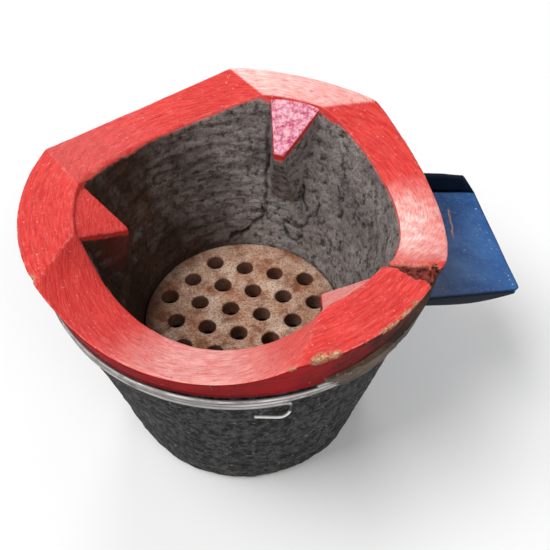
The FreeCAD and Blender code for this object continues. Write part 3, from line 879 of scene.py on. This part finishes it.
def make_shelf():
    form = bmesh.new()
    all_rows = SHELF_ROWS + 2 * FLANGE_ROWS
    grid = bmesh.ops.create_grid(form, x_segments=SHELF_COLUMNS, y_segments=all_rows, size=1)
    doomed = []
    for vert in grid["verts"]:
        along = (vert.co.x + 1) / 2
        row = round((vert.co.y + 1) / 2 * all_rows) - FLANGE_ROWS
        across = min(max(row / SHELF_ROWS, 0.0), 1.0) * 2 - 1
        corner = max(0.0, CORNER - SHELF_HALF_WIDTH * (1 + across))
        front = SHELF_FRONT - CORNER + math.sqrt(CORNER ** 2 - corner ** 2)
        x = SHELF_START + (front - SHELF_START) * along
        half = SHELF_HALF_WIDTH + (SHELF_FRONT - x) * SHELF_TAPER - SHEET / 2
        fold = max(-row, row - SHELF_ROWS, 0) / FLANGE_ROWS
        side = 1 if across > 0 else -1
        rise = fold * shelf_flange(side, x) if fold else 0.0
        bend = 0.7 * MM * rough(Vector((x, across * half, 0.3)), 45 * MM, 2)
        vert.co = (x, across * half, SHEET / 2 + rise + bend)
        if fold and x < FLANGE_START:
            doomed.append(vert)
    bmesh.ops.delete(form, geom=doomed, context="VERTS")
    lay = Matrix.Translation((0, 0, SHELF_AXIS_HEIGHT)) @ Matrix.Rotation(SHELF_SLOPE, 4, "Y")
    lay = lay @ Matrix.Rotation(SHELF_ROLL, 4, "X")
    bmesh.ops.transform(form, matrix=lay, verts=form.verts)
    bmesh.ops.recalc_face_normals(form, faces=form.faces)
    piece = finish_form(form, "side_shelf_sheet")
    rounding = piece.modifiers.new("folds", "BEVEL")
    rounding.width = 1.5 * MM
    rounding.segments = 3
    rounding.limit_method = "ANGLE"
    rounding.angle_limit = math.radians(40)
    skin = piece.modifiers.new("thickness", "SOLIDIFY")
    skin.thickness = SHEET
    skin.offset = 0
    return piece


shelf = make_shelf()
write_mask(shelf, "rim", lambda place, normal: soft_step(0.178, 0.190, place.x))
# Painted shade: the flanges are painted near black
write_mask(shelf, "flange", lambda place, normal: 1.0 if abs(normal.y) > 0.6 else 0.0)
# Painted highlight along the near fold, where light catches the sheet
write_mask(shelf, "fold", lambda place, normal: 1.0 if normal.z > 0.3 and normal.y < -0.3 else 0.0)
adopt(shelf, "side_shelf", "stove")


# %% [markdown]
# Colours are noted as they look on a screen and changed to the linear values that shaders use.
# A small class places nodes and links them, so that a material reads as a list of layers of paint and dirt.

# %% Colour and node helpers
def screen(red, green, blue):
    def linear(value):
        value /= 255
        return value / 12.92 if value <= 0.04045 else ((value + 0.055) / 1.055) ** 2.4
    return (linear(red), linear(green), linear(blue), 1.0)


class Shop:
    """Places nodes in a tree and links them by name."""

    def __init__(self, tree):
        self.tree = tree

    def add(self, kind, values=None, **settings):
        node = self.tree.nodes.new(kind)
        for key, value in settings.items():
            setattr(node, key, value)
        for key, value in (values or {}).items():
            if isinstance(value, bpy.types.NodeSocket):
                self.tree.links.new(value, node.inputs[key])
            else:
                node.inputs[key].default_value = value
        return node

    def mask(self, name):
        return self.add("ShaderNodeAttribute", attribute_name=name).outputs["Fac"]

    def vector(self, name):
        return self.add("ShaderNodeAttribute", attribute_name=name).outputs["Vector"]

    def place(self):
        return self.add("ShaderNodeTexCoord").outputs["Object"]

    def noise(self, vector, scale, detail=4.0, roughness=0.55):
        values = {"Vector": vector, "Scale": scale, "Detail": detail, "Roughness": roughness}
        return self.add("ShaderNodeTexNoise", values).outputs["Fac"]

    def ramp(self, value, low, high):
        values = {"Value": value, "From Min": low, "From Max": high}
        return self.add("ShaderNodeMapRange", values).outputs["Result"]

    def math(self, operation, a, b):
        return self.add("ShaderNodeMath", {0: a, 1: b}, operation=operation).outputs[0]

    def vector_math(self, operation, a, b):
        return self.add("ShaderNodeVectorMath", {0: a, 1: tuple(b)}, operation=operation)

    def blend(self, factor, a, b):
        node = self.add("ShaderNodeMix", data_type="RGBA")
        for key, value in ((0, factor), (6, a), (7, b)):
            if isinstance(value, bpy.types.NodeSocket):
                self.tree.links.new(value, node.inputs[key])
            else:
                node.inputs[key].default_value = value
        return node.outputs[2]

    def lay(self, colour, mask, share, tint):
        """Lay a tint over a colour, as strongly as the mask times share."""
        return self.blend(self.math("MULTIPLY", mask, share), colour, tint)

    def mix(self, factor, a, b):
        return self.add("ShaderNodeMix", {0: factor, 2: a, 3: b}, data_type="FLOAT").outputs[0]


def new_material(name):
    material = bpy.data.materials.new(name)
    material.use_nodes = True
    material.node_tree.nodes.clear()
    shop = Shop(material.node_tree)
    shader = shop.add("ShaderNodeBsdfPrincipled")
    output = shop.add("ShaderNodeOutputMaterial")
    material.node_tree.links.new(shader.outputs["BSDF"], output.inputs["Surface"])
    return material, shop, shader


def join(shop, value, shader, socket):
    shop.tree.links.new(value, shader.inputs[socket])


def dress(material, *pieces):
    for piece in pieces:
        piece.data.materials.clear()
        piece.data.materials.append(material)
        print(material.name, "on", piece.name)


print("mid grey as shaders see it", round(screen(128, 128, 128)[0], 3))


# %% [markdown]
# Every clay surface has the same two scales of unevenness: pale grit a millimetre across, and soft patches
# of smoke or damp. They are built once as a node group and placed in each clay material.

# %% Shared clay grain
def make_grain_group():
    group = bpy.data.node_groups.new("clay_grain", "ShaderNodeTree")
    for name, default in (("Grit Scale", 900.0), ("Patch Scale", 28.0)):
        socket = group.interface.new_socket(name, in_out="INPUT", socket_type="NodeSocketFloat")
        socket.default_value = default
    for name in ("Grit", "Patches", "Specks", "Height"):
        group.interface.new_socket(name, in_out="OUTPUT", socket_type="NodeSocketFloat")
    shop = Shop(group)
    inputs = shop.add("NodeGroupInput")
    outputs = shop.add("NodeGroupOutput")
    place = shop.place()
    grit = shop.noise(place, inputs.outputs["Grit Scale"], 3.0, 0.6)
    patches = shop.ramp(shop.noise(place, inputs.outputs["Patch Scale"], 5.0, 0.6), 0.35, 0.68)
    speck_scale = shop.math("MULTIPLY", inputs.outputs["Grit Scale"], 0.55)
    specks = shop.ramp(shop.noise(place, speck_scale, 2.0), 0.66, 0.76)
    height = shop.math("ADD", grit, shop.math("MULTIPLY", specks, 0.4))
    for name, value in (("Grit", grit), ("Patches", patches), ("Specks", specks), ("Height", height)):
        shop.tree.links.new(value, outputs.inputs[name])
    return group


clay_grain = make_grain_group()
print(clay_grain.name, len(clay_grain.nodes), "nodes")


def add_grain(shop, grit_scale, patch_scale):
    node = shop.add("ShaderNodeGroup", node_tree=clay_grain)
    node.inputs["Grit Scale"].default_value = grit_scale
    node.inputs["Patch Scale"].default_value = patch_scale
    return node.outputs


def add_bump(shop, shader, height, strength, distance):
    bump = shop.add("ShaderNodeBump", {"Strength": strength, "Distance": distance, "Height": height})
    join(shop, bump.outputs["Normal"], shader, "Normal")


# %% [markdown]
# Under the red paint lies pale clay, which shows in the chips, and below the rim fire has sooted the bare
# wall. Both are colours that the masks lay over the paint, so one material can cover the whole bowl and
# there is no hard seam between paint and soot.

# %% Chip and soot colours
def chip_colour(shop, grain, colour):
    """Lay pale clay on the chips, and the browner clay of the broken corner with its pale border."""
    fresh = shop.blend(shop.ramp(grain["Grit"], 0.35, 0.62), screen(150, 96, 70), screen(226, 186, 144))
    colour = shop.blend(shop.mask("bare"), colour, fresh)
    place = shop.place()
    pits = shop.ramp(shop.noise(place, 260.0, 4.0, 0.7), 0.36, 0.6)
    brown = shop.blend(pits, screen(38, 13, 13), screen(138, 62, 54))
    return shop.blend(shop.ramp(shop.mask("broken"), 0.25, 0.6), colour, brown)


def soot_colour(shop, grain, lump):
    """Grey clay on the right of the wall, brown smoke with painted shade on the left, painted shade in the
    hollows of the relief, and dark cracks.
    """
    soot = shop.blend(grain["Patches"], screen(134, 127, 124), screen(182, 174, 170))
    # Brown smoke with painted shade: the left of the wall is painted dark brown
    smoke = shop.blend(grain["Patches"], screen(58, 38, 28), screen(86, 60, 46))
    soot = shop.blend(shop.mask("brown"), soot, smoke)
    # Painted shade: darker where the lump noise, which also raises the bump, is low, in the hollows of the
    # relief
    soot = shop.lay(soot, shop.ramp(lump, 0.51, 0.36), 0.85, screen(44, 38, 35))
    soot = shop.lay(soot, shop.ramp(grain["Grit"], 0.6, 0.4), 0.35, screen(52, 47, 44))
    soot = shop.lay(soot, grain["Specks"], 0.25, screen(190, 180, 170))
    soot = shop.lay(soot, shop.mask("nose_red_tint"), 0.7, screen(104, 40, 28))
    return shop.lay(soot, shop.mask("crack"), 0.75, screen(24, 20, 18))


# %% [markdown]
# Red paint was brushed on round the rim, so its streaks follow the rim, and it is thin on the edges.
# Noise on the sweep vector makes the streaks, the edge mask wears the paint, and the soot mask turns the
# same material into sooted clay.


# %% Red paint
def make_rim_material():
    material, shop, shader = new_material("red_paint_on_clay")
    grain = add_grain(shop, 700.0, 30.0)
    sweep = shop.vector("sweep")
    place = shop.place()
    streak = shop.noise(sweep, 9.0, 5.0, 0.65)
    paint = shop.blend(shop.ramp(streak, 0.3, 0.7), screen(196, 36, 37), screen(242, 74, 67))
    paint = shop.lay(paint, grain["Patches"], 0.4, screen(186, 34, 38))
    fine = shop.ramp(shop.noise(sweep, 15.0, 5.0, 0.75), 0.32, 0.68)
    paint = shop.lay(paint, shop.math("POWER", fine, 3.0), 0.4, screen(250, 150, 138))
    # Painted glare: the red turns pale where the rim shows glare, mottled along the brush strokes
    mottle = shop.math("ADD", shop.math("MULTIPLY", fine, 1.1), 0.25)
    pale = shop.math("MULTIPLY", shop.mask("painted_glare"), mottle)
    paint = shop.blend(pale, paint, screen(255, 222, 214))
    strokes = shop.ramp(shop.noise(place, 250.0, 5.0, 0.75), 0.4, 0.6)
    rose = shop.blend(strokes, screen(190, 66, 106), screen(246, 190, 204))
    paint = shop.blend(shop.mask("rose"), paint, rose)
    scuff = shop.ramp(shop.noise(place, 170.0, 5.0, 0.75), 0.46, 0.62)
    worn = shop.math("MULTIPLY", shop.mask("edge"), shop.math("MULTIPLY", scuff, 0.8))
    cream = shop.ramp(shop.noise(place, 26.0, 2.0), 0.54, 0.6)
    paint = shop.blend(worn, paint, shop.blend(cream, screen(247, 140, 122), screen(238, 196, 160)))
    scratch = shop.ramp(shop.noise(place, 420.0, 4.0, 0.7), 0.63, 0.7)
    paint = shop.lay(paint, scratch, 0.6, screen(250, 184, 170))
    paint = shop.lay(paint, grain["Specks"], 0.6, screen(120, 24, 28))
    # Painted shade, in part: where the collar mask is set the red is painted darker, on the collar and the
    # rests' side faces
    paint = shop.blend(shop.mask("collar"), paint, screen(112, 4, 12))
    lump = shop.noise(place, 170.0, 6.0, 0.68)
    sooted = shop.mask("soot")
    colour = chip_colour(shop, grain, shop.blend(sooted, paint, soot_colour(shop, grain, lump)))
    join(shop, colour, shader, "Base Color")
    shader.inputs["Specular IOR Level"].default_value = 0.12
    dull = shop.math("MAXIMUM", sooted, shop.mask("bare"))
    join(shop, shop.mix(dull, shop.mix(streak, 0.3, 0.55), 0.9), shader, "Roughness")
    grainy = shop.math("MULTIPLY", grain["Height"], 0.3)
    brushed = shop.math("ADD", shop.math("MULTIPLY", streak, 0.2), grainy)
    ridges = shop.math("MULTIPLY", shop.noise(sweep, 5.0, 4.0, 0.6), 0.9)
    crusty = shop.math("ADD", shop.math("MULTIPLY", lump, 3.0), shop.math("MULTIPLY", grain["Height"], 0.5))
    add_bump(shop, shader, shop.mix(sooted, brushed, shop.math("ADD", crusty, ridges)), 1.0, 1.0 * MM)
    return material


rim_material = make_rim_material()
dress(rim_material, bowl, *[bpy.data.objects["pot_rest_%s_clay" % side] for side in RESTS])


# %% [markdown]
# The collar's outside is duller than the rim, and its red is darker, partly as painted shade on faces that
# look down and out, so the bowl has a second material in a slot of its own. Faces that look outward on the
# collar take it.


# %% Collar paint
def make_collar_material():
    """The dull dark red of the collar's outside, partly painted shade, with dirt and painted shade on the
    right.
    """
    material, shop, shader = new_material("collar_paint")
    grain = add_grain(shop, 600.0, 34.0)
    streak = shop.noise(shop.vector("sweep"), 7.0, 5.0, 0.65)
    # The dark red is partly painted shade of the collar's downward-facing faces
    paint = shop.blend(shop.ramp(streak, 0.3, 0.7), screen(134, 18, 26), screen(164, 30, 34))
    paint = shop.lay(paint, grain["Patches"], 0.5, screen(84, 26, 26))
    # Dirt and painted shade darken the collar on the right, over the shelf
    paint = shop.blend(shop.mask("grime_and_shade"), paint, screen(60, 27, 23))
    paint = shop.lay(paint, grain["Specks"], 0.5, screen(180, 120, 100))
    join(shop, chip_colour(shop, grain, paint), shader, "Base Color")
    shader.inputs["Specular IOR Level"].default_value = 0.04
    shader.inputs["Roughness"].default_value = 0.7
    add_bump(shop, shader, shop.math("ADD", streak, grain["Height"]), 1.0, 0.25 * MM)
    return material


bowl.data.materials.append(make_collar_material())
collar_faces = 0
for face in bowl.data.polygons:
    if face.normal.z < 0.35 and face.center.xy.length > COLLAR_INSIDE:
        face.material_index = 1
        collar_faces += 1
print("collar paint on", collar_faces, "faces")


# %% [markdown]
# The grate was never painted. Fire has left it tan, with rusty and smoky patches, and it is darker towards its
# edge. Its hole walls are painted darker as painted shade.

# %% Bare clay
def make_grate_material():
    material, shop, shader = new_material("bare_grate_clay")
    grain = add_grain(shop, 620.0, 36.0)
    place = shop.place()
    colour = shop.blend(grain["Patches"], screen(196, 150, 122), screen(244, 212, 188))
    rust = shop.ramp(shop.noise(place, 42.0, 6.0, 0.7), 0.46, 0.62)
    colour = shop.lay(colour, rust, 0.8, screen(186, 100, 52))
    smoke = shop.ramp(shop.noise(place, 85.0, 6.0, 0.75), 0.5, 0.66)
    colour = shop.lay(colour, smoke, 0.75, screen(92, 60, 42))
    colour = shop.lay(colour, shop.ramp(grain["Grit"], 0.55, 0.38), 0.6, screen(88, 60, 46))
    colour = shop.lay(colour, grain["Specks"], 0.7, screen(236, 214, 194))
    colour = shop.lay(colour, shop.mask("darker_edge"), 0.8, screen(62, 42, 31))
    # Painted shade: the hole walls are painted dark brown
    colour = shop.lay(colour, shop.mask("hole_shade"), 0.8, screen(96, 50, 28))
    join(shop, colour, shader, "Base Color")
    shader.inputs["Roughness"].default_value = 0.85
    height = shop.math("ADD", grain["Height"], shop.noise(place, 240.0, 4.0, 0.7))
    add_bump(shop, shader, height, 0.8, 0.6 * MM)
    return material


dress(make_grate_material(), grate)


# %% [markdown]
# The jacket has dull black paint. Scratches show grey, and the foot has lost its paint to the ground.

# %% Black clay
def make_jacket_material():
    material, shop, shader = new_material("black_paint_on_clay")
    grain = add_grain(shop, 480.0, 22.0)
    place = shop.place()
    lines = shop.noise(shop.vector("sweep"), 6.0, 5.0, 0.7)
    tall = shop.vector_math("MULTIPLY", place, (1.0, 1.0, 0.7)).outputs[0]
    crust = shop.noise(tall, 190.0, 6.0, 0.75)
    colour = shop.blend(grain["Patches"], screen(4, 5, 6), screen(15, 16, 18))
    colour = shop.lay(colour, shop.ramp(lines, 0.62, 0.75), 0.3, screen(66, 66, 68))
    colour = shop.blend(shop.ramp(crust, 0.45, 0.62), colour, screen(86, 85, 86))
    colour = shop.lay(colour, grain["Specks"], 0.75, screen(166, 158, 146))
    height = shop.add("ShaderNodeSeparateXYZ", {0: place}).outputs["Z"]
    scuffed = shop.math("MULTIPLY", shop.ramp(height, 7 * MM, 0.0), shop.ramp(crust, 0.35, 0.6))
    colour = shop.blend(scuffed, colour, screen(116, 92, 70))
    arcs = shop.math("MULTIPLY", shop.ramp(height, 30 * MM, 8 * MM), shop.ramp(lines, 0.54, 0.62))
    colour = shop.lay(colour, arcs, 0.5, screen(112, 92, 76))
    join(shop, colour, shader, "Base Color")
    join(shop, shop.mix(crust, 0.45, 0.75), shader, "Roughness")
    shader.inputs["Specular IOR Level"].default_value = 0.09
    grainy = shop.math("MULTIPLY", grain["Height"], 1.3)
    relief = shop.math("ADD", shop.math("MULTIPLY", crust, 1.5), grainy)
    add_bump(shop, shader, relief, 1.0, 1.7 * MM)
    return material


dress(make_jacket_material(), jacket)


# %% [markdown]
# The mortar is bare clay like the grate, but dirtier, so it is brown, dull and grainy. The shared grain
# group is enough for it.


# %% Mortar
def make_mortar_material():
    material, shop, shader = new_material("clay_mortar")
    grain = add_grain(shop, 500.0, 40.0)
    colour = shop.blend(grain["Patches"], screen(64, 52, 46), screen(112, 90, 74))
    colour = shop.lay(colour, grain["Specks"], 0.6, screen(170, 156, 132))
    join(shop, colour, shader, "Base Color")
    shader.inputs["Roughness"].default_value = 0.9
    add_bump(shop, shader, grain["Height"], 0.8, 0.6 * MM)
    return material


dress(make_mortar_material(), mortar)


# %% [markdown]
# The wire is galvanised, with dull dirt on its turns, painted shade on their undersides and a clean bent tail.
# Metal and dirt need different Metallic and Roughness values, so one mask drives all three sockets.

# %% Galvanised wire
def make_wire_material():
    material, shop, shader = new_material("galvanised_wire")
    sweep = shop.vector("sweep")
    cover = shop.ramp(shop.noise(sweep, 8.0, 5.0, 0.7), 0.53, 0.64)
    bright = shop.mask("tail")
    # Dirt, and painted shade on the undersides of the turns
    dirt = shop.math("MAXIMUM", cover, shop.mask("dirt_and_shade"))
    dirt_and_shade = shop.math("MULTIPLY", dirt, shop.math("SUBTRACT", 1.0, bright))
    spangle = shop.ramp(shop.noise(sweep, 21.0, 4.0), 0.35, 0.65)
    zinc = shop.blend(spangle, screen(150, 145, 143), screen(218, 214, 212))
    zinc = shop.blend(bright, zinc, screen(232, 230, 226))
    join(shop, shop.blend(dirt_and_shade, zinc, screen(48, 43, 41)), shader, "Base Color")
    join(shop, shop.mix(dirt_and_shade, 0.5, 0.0), shader, "Metallic")
    join(shop, shop.mix(dirt_and_shade, 0.45, 0.75), shader, "Roughness")
    return material


dress(make_wire_material(), hoop)


# %% [markdown]
# The shelf's blue paint is thin and scraped. White undercoat shows in flecks near its free edge, rust in
# some, and one long scratch crosses it. The flanges are painted near black as painted shade, and the near
# fold is painted lighter as a painted highlight. The scratch is measured from its two ends inside the
# material, because the sheet's mesh is too coarse to hold so thin a mask.

# %% Blue sheet steel
# The long scratch across the shelf, from end to end in plan
SCRATCH_START = Vector((0.1629, 0.0317, 0))
SCRATCH_END = Vector((0.1575, 0.0010, 0))


def scratch_mark(shop, place):
    """1 on the long scratch, 0 away from it."""
    way = SCRATCH_END - SCRATCH_START
    side = Vector((-way.y, way.x, 0)).normalized()
    gap = shop.vector_math("SUBTRACT", place, SCRATCH_START).outputs[0]
    off = shop.vector_math("DOT_PRODUCT", gap, side).outputs["Value"]
    run = shop.vector_math("DOT_PRODUCT", gap, way / way.length_squared).outputs["Value"]
    wander = shop.math("MULTIPLY", shop.ramp(shop.noise(place, 130.0, 3.0), 0.3, 0.7), 1.6 * MM)
    near = shop.ramp(shop.math("ABSOLUTE", shop.math("SUBTRACT", off, wander), 0.0), 0.9 * MM, 0.3 * MM)
    ends = shop.math("MULTIPLY", shop.ramp(run, -0.03, 0.03), shop.ramp(run, 1.05, 0.7))
    return shop.math("MULTIPLY", near, ends)


def make_shelf_material():
    material, shop, shader = new_material("blue_paint_on_steel")
    place = shop.place()
    cloud = shop.ramp(shop.noise(place, 26.0, 5.0, 0.6), 0.32, 0.7)
    front = shop.ramp(shop.add("ShaderNodeSeparateXYZ", {0: place}).outputs["X"], 0.135, 0.185)
    deep = shop.blend(front, screen(44, 58, 92), screen(30, 62, 116))
    light = shop.blend(front, screen(86, 100, 132), screen(62, 108, 166))
    colour = shop.blend(cloud, deep, light)
    streak = shop.ramp(shop.noise(place, 300.0, 3.0, 0.6), 0.5, 0.75)
    colour = shop.lay(colour, streak, 0.35, screen(96, 124, 168))
    fleck = shop.ramp(shop.noise(place, 430.0, 3.0, 0.5), 0.66, 0.7)
    rim = shop.math("ADD", shop.math("MULTIPLY", shop.mask("rim"), 0.5), 0.2)
    colour = shop.blend(shop.math("MULTIPLY", fleck, rim), colour, screen(206, 210, 214))
    rust = shop.ramp(shop.noise(place, 150.0, 5.0, 0.7), 0.67, 0.72)
    colour = shop.blend(rust, colour, screen(120, 72, 46))
    colour = shop.lay(colour, scratch_mark(shop, place), 0.85, screen(190, 132, 88))
    # Painted highlight: the near fold is painted lighter blue
    colour = shop.lay(colour, shop.mask("fold"), 0.6, screen(150, 168, 196))
    # Painted shade: the flanges are painted near black
    flange = shop.math("MULTIPLY", shop.mask("flange"), 0.96)
    colour = shop.blend(flange, colour, screen(2, 8, 20))
    join(shop, colour, shader, "Base Color")
    join(shop, shop.mix(cloud, 0.4, 0.58), shader, "Roughness")
    shader.inputs["Specular IOR Level"].default_value = 0.14
    add_bump(shop, shader, shop.noise(place, 420.0, 3.0), 0.25, 0.2 * MM)
    return material


dress(make_shelf_material(), shelf)

# %% [markdown]
# A plain studio: a pale floor, a wide soft key lamp high on the left that throws the shadow to the right,
# a weaker one in front on the right, a small one low behind for the gloss on the far rim, and a weak sky.


# %% Floor, lamps and sky
FLOOR_REACH = 6.0
FLOOR_WHITE = 0.88
SKY_STRENGTH = 0.32
# Each lamp: name, direction from the stove, distance, size and watts
LAMPS = (
    ("key", (-0.45, -0.16, 0.88), 6.0, 3.2, 255.0),
    ("front", (0.34, -0.7, 0.66), 6.0, 4.0, 116.0),
    ("back", (-0.05, 0.9, 0.42), 3.0, 1.0, 24.0),
)


def make_floor():
    form = bmesh.new()
    bmesh.ops.create_grid(form, x_segments=1, y_segments=1, size=FLOOR_REACH)
    floor = finish_form(form, "floor")
    material, shop, shader = new_material("floor_paper")
    shader.inputs["Base Color"].default_value = (FLOOR_WHITE, FLOOR_WHITE, FLOOR_WHITE, 1.0)
    shader.inputs["Roughness"].default_value = 0.95
    shader.inputs["Specular IOR Level"].default_value = 0.1
    dress(material, floor)


def add_lamp(name, way, distance, size, watts):
    lamp = bpy.data.lights.new(name, "AREA")
    lamp.shape = "SQUARE"
    lamp.size = size
    lamp.energy = watts
    holder = bpy.data.objects.new(name, lamp)
    bpy.context.collection.objects.link(holder)
    aim = turn_to_stove @ Vector((0.02, 0, 0.13))
    place = aim + turn_to_stove.to_3x3() @ Vector(way).normalized() * distance
    turn = (place - aim).to_track_quat("Z", "Y").to_matrix().to_4x4()
    holder.matrix_world = Matrix.Translation(place) @ turn


make_floor()
for lamp_values in LAMPS:
    add_lamp(*lamp_values)

world = bpy.data.worlds.new("studio")
world.use_nodes = True
world.node_tree.nodes["Background"].inputs["Color"].default_value = (1.0, 1.0, 1.0, 1.0)
world.node_tree.nodes["Background"].inputs["Strength"].default_value = SKY_STRENGTH
bpy.context.scene.world = world
bpy.context.scene.view_settings.view_transform = "Standard"
print("lamps", len(LAMPS), "sky", SKY_STRENGTH)
